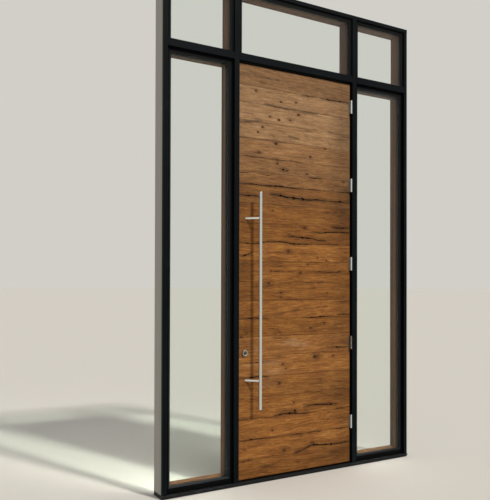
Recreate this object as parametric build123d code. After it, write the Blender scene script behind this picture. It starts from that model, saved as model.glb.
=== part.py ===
# Entrance unit: a tall door faced with old barn boards, a sidelight on each side
# and a row of three transom lights above. The frame is clad in black metal outside
# and is bare brown wood inside. Sizes are in millimetres.
# +X runs to the right seen from outside, +Y goes into the building, +Z is up.
# The origin is the middle of the sill's underside.
import os

from build123d import *

os.makedirs("parts", exist_ok=True)


# Door slab and the gaps round it
SLAB_WIDTH = 1040.0
SLAB_HEIGHT = 3050.0
EDGE_GAP = 11.0
BOTTOM_GAP = 9.0
TOP_GAP = 9.0
OUTSIDE_BOARDS = 14.0
CORE_THICKNESS = 33.0
INSIDE_BOARDS = 10.0

# Frame faces seen from outside, and the depth of the frame
MULLION_FACE = 42.0
JAMB_FACE = 33.0
BAR_FACE = 52.0
HEAD_FACE = 30.0
COVER_DEPTH = 22.0
FRAME_DEPTH = 140.0
COVER_WALL = 3.0
COVER_CORNER = 1.5
HEAD_LIP = 6.0

# Clear bays between the covers
SIDE_BAY = 527.0
TRANSOM_BAY = 466.0

# Lights: the lip round each one, its bevelled bead and its sealed glass
SIDELIGHT_LIP = 22.0
SIDELIGHT_RAIL = 36.0
SIDELIGHT_RECESS = 22.0
SIDELIGHT_BEAD = 14.0
TRANSOM_LIP = 19.0
TRANSOM_RECESS = 10.0
TRANSOM_BEAD = 11.0
BEAD_DEPTH = 12.0
BEAD_NOSE = 2.5
PANE = 5.0
CAVITY = 14.0
SPACER_WIDTH = 9.0
GLASS_EDGE_GAP = 2.0
JOINT = 0.2
LINING_CHAMFER = 4.0

# Sill and threshold
SILL_TOP = 28.0
SILL_NOSE = 6.0
SILL_NOSE_DROP = 4.0
SILL_UNDERCUT = 12.0
SILL_SETBACK = 4.0
THRESHOLD_RISE = 16.0
STOP_WIDTH = 16.0
SEAL_GAP = 5.0
SEAL_DEPTH = 6.0
SEAL_WIDTH = 8.0

# Butt hinges
HINGE_COUNT = 5
HINGE_FROM_TOP = 185.0
HINGE_PITCH = 635.0
HINGE_LENGTH = 102.0
LEAF = 3.0
LEAF_REACH = 32.0
KNUCKLES = 5
KNUCKLE_RADIUS = 7.3
KNUCKLE_GAP = 0.3
KNUCKLE_CLEARANCE = 0.4
PIN_RADIUS = 3.0
PIN_FIT = 0.08
PIN_DEPTH = 6.0
TIP_LENGTH = 2.5
MORTISE_FIT = 0.3
CUT_PAST_LENGTH = 1.0

# Offset pull handles, one each side
PULL_LENGTH = 1594.0
PULL_POST_SPACING = 1190.0
PULL_POST_RISE_HEIGHT = 9.0
PULL_RADIUS = 12.5
PULL_OFFSET_LENGTH = 75.0
PULL_BACKSET_LENGTH = 64.0
PULL_CENTRE_HEIGHT = 1346.0
PULL_END_ROUND = 3.0
POST_RADIUS = 9.0
SADDLE_GAP = 0.2

# Lock
LOCK_HEIGHT = 961.0
BACKSET = 48.0
ROSE_RADIUS = 25.0
ROSE_DEPTH = 9.0
ROSE_BEVEL = 2.5
COLLAR_DEPTH = 14.0
COLLAR_TAPER_WIDTH = 4.0
COLLAR_RIM_WIDTH = 4.0
COLLAR_RECESS_DEPTH = 4.0
PLUG_RADIUS = 7.0
PLUG_DEPTH = 1.5
KEYWAY_WIDTH = 1.8
KEYWAY_HEIGHT = 9.0
TURN_LENGTH = 36.0
TURN_WIDTH = 9.0
TURN_DEPTH = 18.0
FACEPLATE_HEIGHT = 200.0
FACEPLATE_WIDTH = 25.0
FACEPLATE = 3.0
STRIKE = 1.5

# Sweep under the door
SWEEP_WIDTH = 36.0
SWEEP_HEIGHT = 3.5
SWEEP_INSET = 4.0

# Places worked out from the sizes above
FRONT = -FRAME_DEPTH / 2
SLAB_THICKNESS = OUTSIDE_BOARDS + CORE_THICKNESS + INSIDE_BOARDS
SLAB_FRONT = COVER_DEPTH
SLAB_BACK = SLAB_FRONT + SLAB_THICKNESS
CORE_FRONT = SLAB_FRONT + OUTSIDE_BOARDS
CORE_BACK = CORE_FRONT + CORE_THICKNESS
SLAB_EDGE = SLAB_WIDTH / 2
REVEAL = SLAB_EDGE + EDGE_GAP
MULLION_LINE = REVEAL + MULLION_FACE / 2
SIDE_BAY_START = REVEAL + MULLION_FACE
SIDE_BAY_END = SIDE_BAY_START + SIDE_BAY
HALF_WIDTH = SIDE_BAY_END + JAMB_FACE
SLAB_BOTTOM = SILL_TOP + BOTTOM_GAP
SLAB_TOP = SLAB_BOTTOM + SLAB_HEIGHT
DOOR_HEAD = SLAB_TOP + TOP_GAP
BAR_BOTTOM = DOOR_HEAD + HEAD_LIP
BAR_LINE = BAR_BOTTOM + BAR_FACE / 2
BAR_TOP = BAR_BOTTOM + BAR_FACE
UNIT_HEIGHT = BAR_TOP + TRANSOM_BAY + HEAD_FACE
STOP_FACE = SLAB_BACK + SEAL_GAP + SEAL_DEPTH
GLASS_THICKNESS = 2 * PANE + CAVITY
PIN_X = REVEAL - KNUCKLE_CLEARANCE - KNUCKLE_RADIUS


# Solids set out by their left and right, depth behind the outer face, and height
def block(left, right, near, far, low, high):
    size = Box(right - left, far - near, high - low)
    return Pos((left + right) / 2, FRONT + (near + far) / 2, (low + high) / 2) * size


def upright(section, low, high):
    """Run a section of (x, depth) points straight up."""
    outline = make_face(Polyline([(x, FRONT + depth) for x, depth in section], close=True))
    return Pos(0, 0, low) * extrude(outline, high - low)


def level(section, left, right):
    """Run a section of (depth, height) points from left to right."""
    outline = make_face(Polyline([(FRONT + depth, height) for depth, height in section], close=True))
    return Pos(left, 0, 0) * extrude(Plane.YZ * outline, right - left)


def save(node, shapes):
    export_step(Compound(children=shapes), f"parts/{node}.step")


# Sill: one silver extrusion under the whole unit, with an undercut nose
def make_sill():
    section = [
        (SILL_SETBACK, 0),
        (FRAME_DEPTH, 0),
        (FRAME_DEPTH, SILL_TOP),
        (0, SILL_TOP),
        (-SILL_NOSE, SILL_TOP - SILL_NOSE_DROP),
        (-SILL_NOSE, SILL_UNDERCUT),
        (SILL_SETBACK, SILL_UNDERCUT),
    ]
    save("sill", [level(section, -HALF_WIDTH, HALF_WIDTH)])


# Covers: channels that hide the joints between the unit's frames
def cover_section(start, end):
    """A channel open to the back, as (across, depth) points."""
    return [
        (start, COVER_DEPTH),
        (start, COVER_CORNER),
        (start + COVER_CORNER, 0),
        (end - COVER_CORNER, 0),
        (end, COVER_CORNER),
        (end, COVER_DEPTH),
        (end - COVER_WALL, COVER_DEPTH),
        (end - COVER_WALL, COVER_WALL),
        (start + COVER_WALL, COVER_WALL),
        (start + COVER_WALL, COVER_DEPTH),
    ]


def level_cover(low, high, left, right):
    section = [(depth, height) for height, depth in cover_section(low, high)]
    return level(section, left, right)


def make_covers():
    for side, name in ((-1, "left"), (1, "right")):
        jamb = sorted((side * SIDE_BAY_END, side * HALF_WIDTH))
        mullion = sorted((side * REVEAL, side * SIDE_BAY_START))
        save(f"{name}_jamb_cover", [upright(cover_section(*jamb), SILL_TOP, UNIT_HEIGHT - HEAD_FACE)])
        save(f"{name}_mullion_cover", [upright(cover_section(*mullion), SILL_TOP, UNIT_HEIGHT - HEAD_FACE)])
    save("head_cover", [level_cover(UNIT_HEIGHT - HEAD_FACE, UNIT_HEIGHT, -HALF_WIDTH, HALF_WIDTH)])
    bays = [
        (-SIDE_BAY_END, -SIDE_BAY_START),
        (-REVEAL, REVEAL),
        (SIDE_BAY_START, SIDE_BAY_END),
    ]
    save("transom_bar_covers", [level_cover(BAR_BOTTOM, BAR_TOP, left, right) for left, right in bays])


# Lights: what a sidelight and a transom light have in common
class Light:
    def __init__(self, name, left, right, low, high, hidden, lips, recess, bead):
        self.name = name
        self.left, self.right, self.low, self.high = left, right, low, high
        self.hidden = hidden
        self.lips = lips
        self.recess = recess
        self.bead = bead
        self.glass_front = recess + BEAD_DEPTH
        self.glass_back = self.glass_front + GLASS_THICKNESS

    def inset(self, extra):
        """The rectangle that lies inside the lips by some more on every side."""
        left, right, low, high = (h + lip + extra for h, lip in zip(self.hidden, self.lips))
        return self.left + left, self.right - right, self.low + low, self.high - high


def four_bars(light, section, widths):
    """Two uprights and two level bars between them, from one section maker."""
    left, right, low, high = widths
    uprights = [
        upright([(light.left + u, d) for u, d in section(0)], light.low, light.high),
        upright([(light.right - u, d) for u, d in section(1)], light.low, light.high),
    ]
    start = light.left + left + JOINT
    end = light.right - right - JOINT
    levels = [
        level([(d, light.low + u) for u, d in section(2)], start, end),
        level([(d, light.high - u) for u, d in section(3)], start, end),
    ]
    return uprights + levels


def make_light_frame(light):
    """The black frame: a step where its cover sits, then the lip."""
    def section(side):
        hidden = light.hidden[side]
        inner = hidden + light.lips[side]
        points = [(0, light.glass_back), (inner, light.glass_back), (inner, light.recess)]
        if hidden > 0:
            points.append((hidden, light.recess))
        if light.recess < COVER_DEPTH:
            points.append((hidden, COVER_DEPTH))
        points.append((0, COVER_DEPTH))
        return points
    widths = [h + lip for h, lip in zip(light.hidden, light.lips)]
    bars = four_bars(light, section, widths)
    if light.recess < COVER_DEPTH:
        foot = block(light.left, light.right, 0, COVER_DEPTH, light.low, light.low + light.hidden[2])
        top = block(light.left, light.right, 0, COVER_DEPTH, light.high - light.hidden[3], light.high)
        bars[:2] = [bar - foot - top for bar in bars[:2]]
    save(f"{light.name}_frame", bars)


def make_lining(light):
    """The brown wood frame behind the glass, with its inner edge chamfered."""
    def section(side):
        width = light.hidden[side] + light.lips[side] + light.bead
        return [
            (0, light.glass_back),
            (width, light.glass_back),
            (width, FRAME_DEPTH - LINING_CHAMFER),
            (width - LINING_CHAMFER, FRAME_DEPTH),
            (0, FRAME_DEPTH),
        ]
    widths = [h + lip + light.bead for h, lip in zip(light.hidden, light.lips)]
    save(f"{light.name}_lining", four_bars(light, section, widths))


def mitre(shape, outline):
    """Keep what lies inside an outline of (x, height) points."""
    face = Plane.XZ * make_face(Polyline(outline, close=True))
    return shape & extrude(face, FRAME_DEPTH, both=True)


def make_bead(light):
    """Four mitred bars that hold the glass, bevelled towards it."""
    left, right, low, high = light.inset(0)
    width = light.bead
    section = [
        (0, light.glass_front),
        (0, light.recess),
        (BEAD_NOSE, light.recess),
        (width, light.glass_front - BEAD_NOSE),
        (width, light.glass_front),
    ]
    bars = [
        mitre(
            upright([(left + u, d) for u, d in section], low, high),
            [(left, low + JOINT), (left, high - JOINT),
             (left + width, high - JOINT - width), (left + width, low + JOINT + width)],
        ),
        mitre(
            upright([(right - u, d) for u, d in section], low, high),
            [(right, low + JOINT), (right, high - JOINT),
             (right - width, high - JOINT - width), (right - width, low + JOINT + width)],
        ),
        mitre(
            level([(d, low + u) for u, d in section], left, right),
            [(left + JOINT, low), (right - JOINT, low),
             (right - JOINT - width, low + width), (left + JOINT + width, low + width)],
        ),
        mitre(
            level([(d, high - u) for u, d in section], left, right),
            [(left + JOINT, high), (right - JOINT, high),
             (right - JOINT - width, high - width), (left + JOINT + width, high - width)],
        ),
    ]
    save(f"{light.name}_bead", bars)


def make_glass(light):
    """Two panes with a cavity between them."""
    left, right, low, high = light.inset(GLASS_EDGE_GAP)
    outer = block(left, right, light.glass_front, light.glass_front + PANE, low, high)
    inner = block(left, right, light.glass_back - PANE, light.glass_back, low, high)
    save(f"{light.name}_glass", [outer, inner])


def spacer_bars(light):
    """The dark strip that holds the two panes apart, in four lengths."""
    left, right, low, high = light.inset(GLASS_EDGE_GAP)
    near = light.glass_front + PANE
    far = light.glass_back - PANE
    inner_left = left + SPACER_WIDTH
    inner_right = right - SPACER_WIDTH
    return [
        block(left, inner_left, near, far, low, high),
        block(inner_right, right, near, far, low, high),
        block(inner_left + JOINT, inner_right - JOINT, near, far, low, low + SPACER_WIDTH),
        block(inner_left + JOINT, inner_right - JOINT, near, far, high - SPACER_WIDTH, high),
    ]


def make_lights():
    half_mullion = MULLION_FACE / 2
    half_bar = BAR_FACE / 2
    side_lips = (SIDELIGHT_LIP, SIDELIGHT_LIP, SIDELIGHT_RAIL, SIDELIGHT_LIP)
    top_lips = (TRANSOM_LIP, TRANSOM_LIP, TRANSOM_LIP, TRANSOM_LIP)
    lights = [
        Light("left_sidelight", -HALF_WIDTH, -MULLION_LINE, SILL_TOP, BAR_LINE,
              (JAMB_FACE, half_mullion, 0, half_bar), side_lips, SIDELIGHT_RECESS, SIDELIGHT_BEAD),
        Light("right_sidelight", MULLION_LINE, HALF_WIDTH, SILL_TOP, BAR_LINE,
              (half_mullion, JAMB_FACE, 0, half_bar), side_lips, SIDELIGHT_RECESS, SIDELIGHT_BEAD),
        Light("left_transom", -HALF_WIDTH, -MULLION_LINE, BAR_LINE, UNIT_HEIGHT,
              (JAMB_FACE, half_mullion, half_bar, HEAD_FACE), top_lips, TRANSOM_RECESS, TRANSOM_BEAD),
        Light("centre_transom", -MULLION_LINE, MULLION_LINE, BAR_LINE, UNIT_HEIGHT,
              (half_mullion, half_mullion, half_bar, HEAD_FACE), top_lips, TRANSOM_RECESS, TRANSOM_BEAD),
        Light("right_transom", MULLION_LINE, HALF_WIDTH, BAR_LINE, UNIT_HEIGHT,
              (half_mullion, JAMB_FACE, half_bar, HEAD_FACE), top_lips, TRANSOM_RECESS, TRANSOM_BEAD),
    ]
    spacers = []
    for light in lights:
        make_light_frame(light)
        make_lining(light)
        make_bead(light)
        make_glass(light)
        spacers += spacer_bars(light)
    save("glass_spacers", spacers)


# Door frame: black jambs and head in front, wood stop behind, rubber seal on the stop
def make_door_frame():
    save("door_frame", [
        block(-MULLION_LINE, -REVEAL, COVER_DEPTH, STOP_FACE, SILL_TOP, BAR_LINE),
        block(REVEAL, MULLION_LINE, COVER_DEPTH, STOP_FACE, SILL_TOP, BAR_LINE),
        block(-REVEAL + JOINT, REVEAL - JOINT, COVER_DEPTH, STOP_FACE, DOOR_HEAD, BAR_LINE),
    ])
    inner = REVEAL - STOP_WIDTH
    save("door_stop", [
        block(-MULLION_LINE, -inner, STOP_FACE, FRAME_DEPTH, SILL_TOP, BAR_LINE),
        block(inner, MULLION_LINE, STOP_FACE, FRAME_DEPTH, SILL_TOP, BAR_LINE),
        block(-inner + JOINT, inner - JOINT, STOP_FACE, FRAME_DEPTH, DOOR_HEAD - STOP_WIDTH, BAR_LINE),
    ])
    save("inner_threshold", [
        block(-inner, inner, STOP_FACE, FRAME_DEPTH, SILL_TOP, SILL_TOP + THRESHOLD_RISE),
    ])
    seal_near = STOP_FACE - SEAL_DEPTH
    seal_top = DOOR_HEAD - STOP_WIDTH + SEAL_WIDTH
    save("door_seal", [
        block(-inner - SEAL_WIDTH, -inner, seal_near, STOP_FACE, SILL_TOP, seal_top),
        block(inner, inner + SEAL_WIDTH, seal_near, STOP_FACE, SILL_TOP, seal_top),
        block(-inner + JOINT, inner - JOINT, seal_near, STOP_FACE, seal_top - SEAL_WIDTH, seal_top),
    ])


# Hinges: five butt hinges on the right, their barrels proud of the slab
def hinge_heights():
    top = SLAB_TOP - HINGE_FROM_TOP
    return [top - n * HINGE_PITCH for n in range(HINGE_COUNT)]


def barrel(radius, low, high):
    return Pos(PIN_X, FRONT + PIN_DEPTH, (low + high) / 2) * Cylinder(radius, high - low)


def leaf_with_knuckles(near_x, far_x, centre, own):
    """A leaf notched at the other leaf's knuckles, with its own knuckles on it."""
    low = centre - HINGE_LENGTH / 2
    step = HINGE_LENGTH / KNUCKLES
    clear_depth = PIN_DEPTH + KNUCKLE_RADIUS + KNUCKLE_GAP
    shape = block(near_x, far_x, clear_depth, SLAB_FRONT + LEAF_REACH, low, low + HINGE_LENGTH)
    for n in own:
        start = low + n * step + KNUCKLE_GAP / 2
        end = low + (n + 1) * step - KNUCKLE_GAP / 2
        shape += block(near_x, far_x, PIN_DEPTH, clear_depth, start, end)
        shape += barrel(KNUCKLE_RADIUS, start, end)
    return shape


def make_hinges():
    frame_side = []
    door_side = []
    for centre in hinge_heights():
        low = centre - HINGE_LENGTH / 2
        high = centre + HINGE_LENGTH / 2
        fixed = leaf_with_knuckles(REVEAL - LEAF, REVEAL, centre, range(0, KNUCKLES, 2))
        fixed += barrel(PIN_RADIUS, low - TIP_LENGTH, high + TIP_LENGTH)
        fixed += barrel(KNUCKLE_RADIUS, low - TIP_LENGTH, low + KNUCKLE_GAP)
        fixed += barrel(KNUCKLE_RADIUS, high - KNUCKLE_GAP, high + TIP_LENGTH)
        frame_side.append(fixed)
        moving = leaf_with_knuckles(SLAB_EDGE - LEAF, SLAB_EDGE, centre, range(1, KNUCKLES, 2))
        door_side.append(moving - barrel(PIN_RADIUS + PIN_FIT, low, high))
    save("hinge_frame_leaves", frame_side)
    save("hinge_door_leaves", door_side)


def cut_hinge_mortises(layer):
    for centre in hinge_heights():
        half = HINGE_LENGTH / 2 + MORTISE_FIT
        layer -= block(SLAB_EDGE - LEAF - MORTISE_FIT, SLAB_EDGE + CUT_PAST_LENGTH,
                       SLAB_FRONT - CUT_PAST_LENGTH,
                       SLAB_FRONT + LEAF_REACH + MORTISE_FIT, centre - half, centre + half)
    return layer


# Slab: a core with a layer of boards on each face
def make_slab():
    outside = block(-SLAB_EDGE, SLAB_EDGE, SLAB_FRONT, CORE_FRONT, SLAB_BOTTOM, SLAB_TOP)
    save("outside_boards", [cut_hinge_mortises(outside)])
    core = block(-SLAB_EDGE, SLAB_EDGE, CORE_FRONT, CORE_BACK, SLAB_BOTTOM, SLAB_TOP)
    core = cut_hinge_mortises(core)
    middle = (CORE_FRONT + CORE_BACK) / 2
    core -= block(-SLAB_EDGE - CUT_PAST_LENGTH, -SLAB_EDGE + FACEPLATE, middle - FACEPLATE_WIDTH / 2,
                  middle + FACEPLATE_WIDTH / 2, LOCK_HEIGHT - FACEPLATE_HEIGHT / 2,
                  LOCK_HEIGHT + FACEPLATE_HEIGHT / 2)
    save("door_core", [core])
    save("lock_faceplate", [
        block(-SLAB_EDGE, -SLAB_EDGE + FACEPLATE, middle - FACEPLATE_WIDTH / 2,
              middle + FACEPLATE_WIDTH / 2, LOCK_HEIGHT - FACEPLATE_HEIGHT / 2,
              LOCK_HEIGHT + FACEPLATE_HEIGHT / 2),
    ])
    save("strike_plate", [
        block(-REVEAL, -REVEAL + STRIKE, middle - FACEPLATE_WIDTH / 2, middle + FACEPLATE_WIDTH / 2,
              LOCK_HEIGHT - FACEPLATE_HEIGHT / 2, LOCK_HEIGHT + FACEPLATE_HEIGHT / 2),
    ])
    save("inside_boards", [block(-SLAB_EDGE, SLAB_EDGE, CORE_BACK, SLAB_BACK, SLAB_BOTTOM, SLAB_TOP)])
    sweep_near = (SLAB_FRONT + SLAB_BACK - SWEEP_WIDTH) / 2
    save("bottom_sweep", [
        block(-SLAB_EDGE + SWEEP_INSET, SLAB_EDGE - SWEEP_INSET, sweep_near, sweep_near + SWEEP_WIDTH,
              SLAB_BOTTOM - SWEEP_HEIGHT, SLAB_BOTTOM),
    ])


# Pulls: a long round bar on two slanted posts, the same inside and outside
def make_pull(name, face, outward):
    foot_x = -SLAB_EDGE + PULL_BACKSET_LENGTH
    bar_x = foot_x + PULL_OFFSET_LENGTH
    face_y = FRONT + face
    bar_y = face_y + outward * PULL_OFFSET_LENGTH
    middle = PULL_CENTRE_HEIGHT + PULL_POST_RISE_HEIGHT
    bar = Pos(bar_x, bar_y, PULL_CENTRE_HEIGHT) * Cylinder(PULL_RADIUS, PULL_LENGTH)
    bar = fillet(bar.edges(), PULL_END_ROUND)
    saddle = Pos(bar_x, bar_y, PULL_CENTRE_HEIGHT) * Cylinder(PULL_RADIUS + SADDLE_GAP, PULL_LENGTH)
    behind = Pos(foot_x, face_y - outward * PULL_OFFSET_LENGTH, middle) * Box(
        4 * PULL_OFFSET_LENGTH, 2 * PULL_OFFSET_LENGTH, PULL_LENGTH)
    posts = []
    for side in (-1, 1):
        height = middle + side * PULL_POST_SPACING / 2
        along = Plane(origin=(bar_x, bar_y, height), z_dir=(foot_x - bar_x, face_y - bar_y, 0))
        post = along * Pos(0, 0, PULL_OFFSET_LENGTH) * Cylinder(POST_RADIUS, 2 * PULL_OFFSET_LENGTH)
        posts.append(post - saddle - behind)
    save(f"{name}_pull_bar", [bar])
    save(f"{name}_pull_posts", posts)


def lock_disc(radius, face, outward, start, end, bevel):
    """A turned disc that stands out from a door face."""
    centre_y = FRONT + face + outward * (start + end) / 2
    disc = Rot(90, 0, 0) * Cylinder(radius, end - start)
    if outward < 0:
        rim = disc.edges().sort_by(Axis.Y)[0]
    else:
        rim = disc.edges().sort_by(Axis.Y)[-1]
    disc = chamfer(rim, bevel)
    return Pos(-SLAB_EDGE + BACKSET, centre_y, LOCK_HEIGHT) * disc


def tapered_collar():
    """A turned collar, narrower at its rim, with the key cylinder set back in it."""
    collar = Cone(ROSE_RADIUS, ROSE_RADIUS - COLLAR_TAPER_WIDTH, COLLAR_DEPTH)
    rim_z = COLLAR_DEPTH / 2
    hollow = ROSE_RADIUS - COLLAR_TAPER_WIDTH - COLLAR_RIM_WIDTH
    collar -= Pos(0, 0, rim_z - COLLAR_RECESS_DEPTH / 2) * Cylinder(hollow, COLLAR_RECESS_DEPTH)
    collar = fillet(collar.edges().group_by(Axis.Z)[-1], COLLAR_RIM_WIDTH / 3)
    floor_z = rim_z - COLLAR_RECESS_DEPTH
    collar += Pos(0, 0, floor_z + PLUG_DEPTH / 2) * Cylinder(PLUG_RADIUS, PLUG_DEPTH)
    collar -= Pos(0, 0, floor_z + PLUG_DEPTH) * Box(KEYWAY_WIDTH, KEYWAY_HEIGHT, 2 * PLUG_DEPTH)
    return Pos(-SLAB_EDGE + BACKSET, FRONT + SLAB_FRONT - COLLAR_DEPTH / 2, LOCK_HEIGHT) * (
        Rot(90, 0, 0) * collar)


def make_lock():
    save("outside_lock", [tapered_collar()])
    inner = lock_disc(ROSE_RADIUS, SLAB_BACK, 1, 0, ROSE_DEPTH, ROSE_BEVEL)
    turn_near = SLAB_BACK + ROSE_DEPTH
    turn_x = -SLAB_EDGE + BACKSET
    turn = block(turn_x - TURN_WIDTH / 2, turn_x + TURN_WIDTH / 2, turn_near, turn_near + TURN_DEPTH,
                 LOCK_HEIGHT - TURN_LENGTH / 2, LOCK_HEIGHT + TURN_LENGTH / 2)
    turn = fillet(turn.edges().filter_by(Axis.Y), TURN_WIDTH / 3)
    save("inside_lock", [inner + turn])


make_sill()
make_covers()
make_lights()
make_door_frame()
make_hinges()
make_slab()
make_pull("outside", SLAB_FRONT, -1)
make_pull("inside", SLAB_BACK, 1)
make_lock()
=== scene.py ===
# Tall entrance door faced with old barn boards, in a black clad frame with a
# sidelight each side and three transom lights above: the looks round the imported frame.
import math

import bmesh
import bpy
from mathutils import Matrix, Vector, noise


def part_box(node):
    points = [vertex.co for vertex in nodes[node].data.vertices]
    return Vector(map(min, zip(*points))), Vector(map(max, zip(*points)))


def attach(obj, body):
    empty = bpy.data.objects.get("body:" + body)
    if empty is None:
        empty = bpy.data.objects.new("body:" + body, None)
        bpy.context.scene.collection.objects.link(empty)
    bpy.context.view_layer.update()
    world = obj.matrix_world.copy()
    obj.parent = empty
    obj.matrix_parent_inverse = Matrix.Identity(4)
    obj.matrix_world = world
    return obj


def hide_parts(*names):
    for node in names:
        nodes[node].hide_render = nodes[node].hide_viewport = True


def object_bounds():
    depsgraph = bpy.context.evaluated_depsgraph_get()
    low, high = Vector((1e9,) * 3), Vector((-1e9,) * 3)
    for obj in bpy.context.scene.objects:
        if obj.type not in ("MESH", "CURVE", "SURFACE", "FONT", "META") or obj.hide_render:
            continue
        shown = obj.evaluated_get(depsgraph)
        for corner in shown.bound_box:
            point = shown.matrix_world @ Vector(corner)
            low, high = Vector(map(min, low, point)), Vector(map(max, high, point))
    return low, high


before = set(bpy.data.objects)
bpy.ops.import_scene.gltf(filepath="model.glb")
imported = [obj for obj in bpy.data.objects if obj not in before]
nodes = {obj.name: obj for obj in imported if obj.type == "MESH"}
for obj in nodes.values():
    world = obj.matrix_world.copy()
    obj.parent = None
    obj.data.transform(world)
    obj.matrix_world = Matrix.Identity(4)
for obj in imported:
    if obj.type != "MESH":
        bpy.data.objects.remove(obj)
cad_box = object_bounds()

# Where the photograph was taken from: outside, to the left of the door and at eye height,
# turned half to the right, with the picture shifted up to take in the tall frame.
PICTURE_HEIGHT = 500
FOCAL_PIXELS = 664.5
PRINCIPAL_BELOW_CENTRE = 27.1
EYE = (-2.983, -4.225, 1.472)
TURN, TIP, ROLL = -31.04, 90.54, 0.14
camera_data = bpy.data.cameras.new("photograph_camera")
camera_data.sensor_width = 36.0
camera_data.lens = camera_data.sensor_width * FOCAL_PIXELS / PICTURE_HEIGHT
camera_data.shift_y = PRINCIPAL_BELOW_CENTRE / PICTURE_HEIGHT
camera_data.clip_end = 400.0
camera = bpy.data.objects.new("photograph_camera", camera_data)
bpy.context.scene.collection.objects.link(camera)
turned_right = Matrix.Rotation(math.radians(TURN), 4, "Z")
tipped_up = Matrix.Rotation(math.radians(TIP), 4, "X")
rolled = Matrix.Rotation(math.radians(ROLL), 4, "Z")
camera.matrix_world = Matrix.Translation(EYE) @ turned_right @ tipped_up @ rolled
bpy.context.scene.camera = camera
bpy.context.scene.view_settings.view_transform = "Standard"

# Studio: a matt floor, pale and warm grey, and the same pale colour all round. A sun lamp
# shines from high in front and a little to the right.
STUDIO_PALE = "#D2CFC9"
FLOOR_RADIUS = 190.0
TOWARDS_LAMP = (0.235, -0.64, 0.68)


def linear(hex_colour):
    channels = [int(hex_colour[i:i + 2], 16) / 255 for i in (1, 3, 5)]
    return [c / 12.92 if c <= 0.04045 else ((c + 0.055) / 1.055) ** 2.4 for c in channels] + [1.0]


def feed(tree, node, sources):
    for socket, source in sources.items():
        tree.links.new(source, node.inputs[socket])


def add_node(tree, kind, settings={}, links={}, stops=(), **fields):
    """One node with its settings and links. stops are a colour ramp's places and colours."""
    made = tree.nodes.new(kind)
    for field, value in fields.items():
        setattr(made, field, value)
    for socket, value in settings.items():
        made.inputs[socket].default_value = value
    feed(tree, made, links)
    while stops and len(made.color_ramp.elements) < len(stops):
        made.color_ramp.elements.new(0.5)
    for number, (position, colour) in enumerate(stops):
        made.color_ramp.elements[number].position = position
        made.color_ramp.elements[number].color = linear(colour)
    return made


def new_material(name, **settings):
    """A setting's name has _ for each space in the name of its socket."""
    made = bpy.data.materials.new(name)
    made.use_nodes = True
    shader = made.node_tree.nodes["Principled BSDF"]
    for socket, value in settings.items():
        shader.inputs[socket.replace("_", " ")].default_value = value
    return made, made.node_tree, shader


def mesh_from(bm, name):
    """The shape as a mesh, after which the bmesh is gone."""
    mesh = bpy.data.meshes.new(name)
    bm.to_mesh(mesh)
    bm.free()
    return mesh


def piece_from(bm, name, material):
    mesh = mesh_from(bm, name)
    mesh.materials.append(material)
    piece = bpy.data.objects.new(name, mesh)
    bpy.context.scene.collection.objects.link(piece)
    return piece


floor_paint = new_material("studio_floor_matt_paint", Base_Color=linear("#D6D3CC"), Roughness=0.95,
                           Specular_IOR_Level=0.1)[0]
bm = bmesh.new()
bmesh.ops.create_circle(bm, cap_ends=True, segments=64, radius=FLOOR_RADIUS)
piece_from(bm, "studio_floor", floor_paint)

world = bpy.data.worlds.new("studio_air")
bpy.context.scene.world = world
world.use_nodes = True
tree = world.node_tree
tree.nodes.clear()
path = add_node(tree, "ShaderNodeLightPath")
seen_or_mirrored = add_node(tree, "ShaderNodeMath", operation="MAXIMUM",
                            links={0: path.outputs["Is Camera Ray"], 1: path.outputs["Is Glossy Ray"]})
seen = add_node(tree, "ShaderNodeMath", operation="MAXIMUM",
                links={0: seen_or_mirrored.outputs[0], 1: path.outputs["Is Transmission Ray"]})
lighting = add_node(tree, "ShaderNodeBackground", {"Color": linear("#F6F5F4"), "Strength": 0.44})
backdrop = add_node(tree, "ShaderNodeBackground", {"Color": linear(STUDIO_PALE)})
mixed = add_node(tree, "ShaderNodeMixShader",
                 links={0: seen.outputs[0], 1: lighting.outputs[0], 2: backdrop.outputs[0]})
add_node(tree, "ShaderNodeOutputWorld", links={"Surface": mixed.outputs[0]})

lamp_data = bpy.data.lights.new("studio_sun", "SUN")
lamp_data.energy = 2.5
lamp_data.angle = math.radians(5.0)
lamp_data.color = linear("#FFFAF3")[:3]
lamp = bpy.data.objects.new("studio_sun", lamp_data)
lamp.rotation_euler = Vector(TOWARDS_LAMP).to_track_quat("Z", "Y").to_euler()
bpy.context.scene.collection.objects.link(lamp)

# Black frame cladding: aluminium extrusions, powder coated in a satin black and clipped over
# the wooden frame. The coat has a fine orange peel, drawn 1 mm across, and patches of dust a
# third of a metre wide grey it a little.
HALF_WIDTH = cad_box[1][0]
UNIT_TOP = cad_box[1][2]
PRIMER = "#A3A099"
CLADDING_BACK = -0.0475
SKIN = 0.0005


def finish(node_name, material):
    slots = nodes[node_name].data.materials
    slots.clear()
    slots.append(material)


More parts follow.
